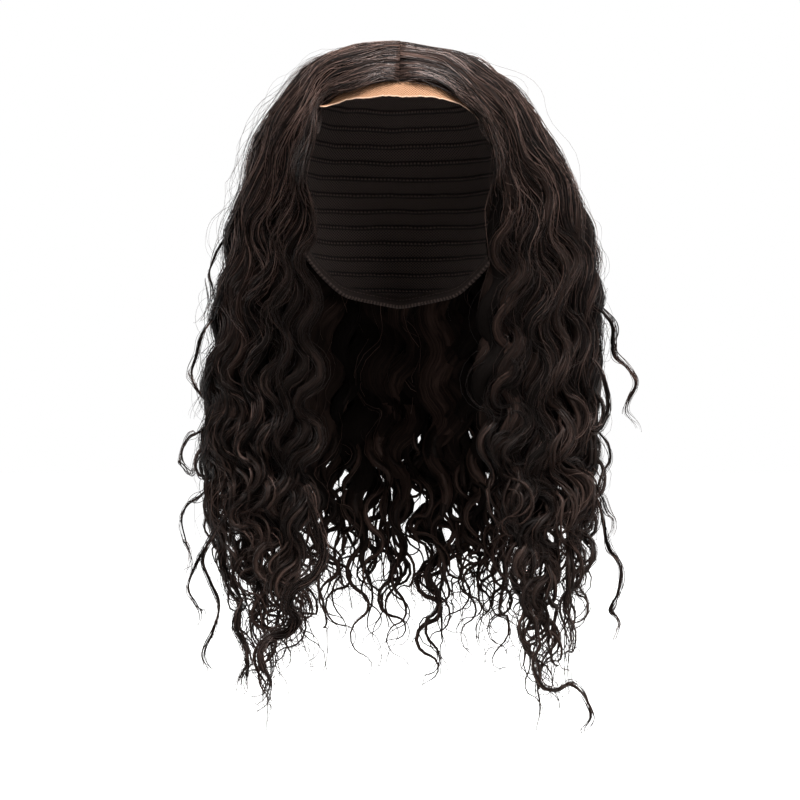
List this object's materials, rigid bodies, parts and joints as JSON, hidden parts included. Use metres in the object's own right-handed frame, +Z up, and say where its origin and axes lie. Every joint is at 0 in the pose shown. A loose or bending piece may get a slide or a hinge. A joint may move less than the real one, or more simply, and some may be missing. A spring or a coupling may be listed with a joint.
{
  "type": "lace closure wig",
  "caption": "Long dark wavy wig parted in the middle: hair tied to a lace square and sewn in rows to a stretch cap that sits on the crown of a head.",
  "frame": {"origin": "inside of the cap at the crown, where the top of a head bears on it", "axes": "+Z up out of the crown, -Y the way the face looks, +X to the viewer's right when facing the wig"},
  "size_m": [0.2964, 0.2055, 0.4574],
  "materials": {
    "hair": "satin",
    "cap_net": "matte",
    "lace": "matte"
  },
  "bodies": {
    "root": {"cap": "cap_net", "lace_closure": "lace", "closure_hair_left": "hair", "closure_hair_right": "hair", "weft_hair_left": "hair", "weft_hair_right": "hair", "weft_hair_back": "hair"}
  },
  "joints": []
}
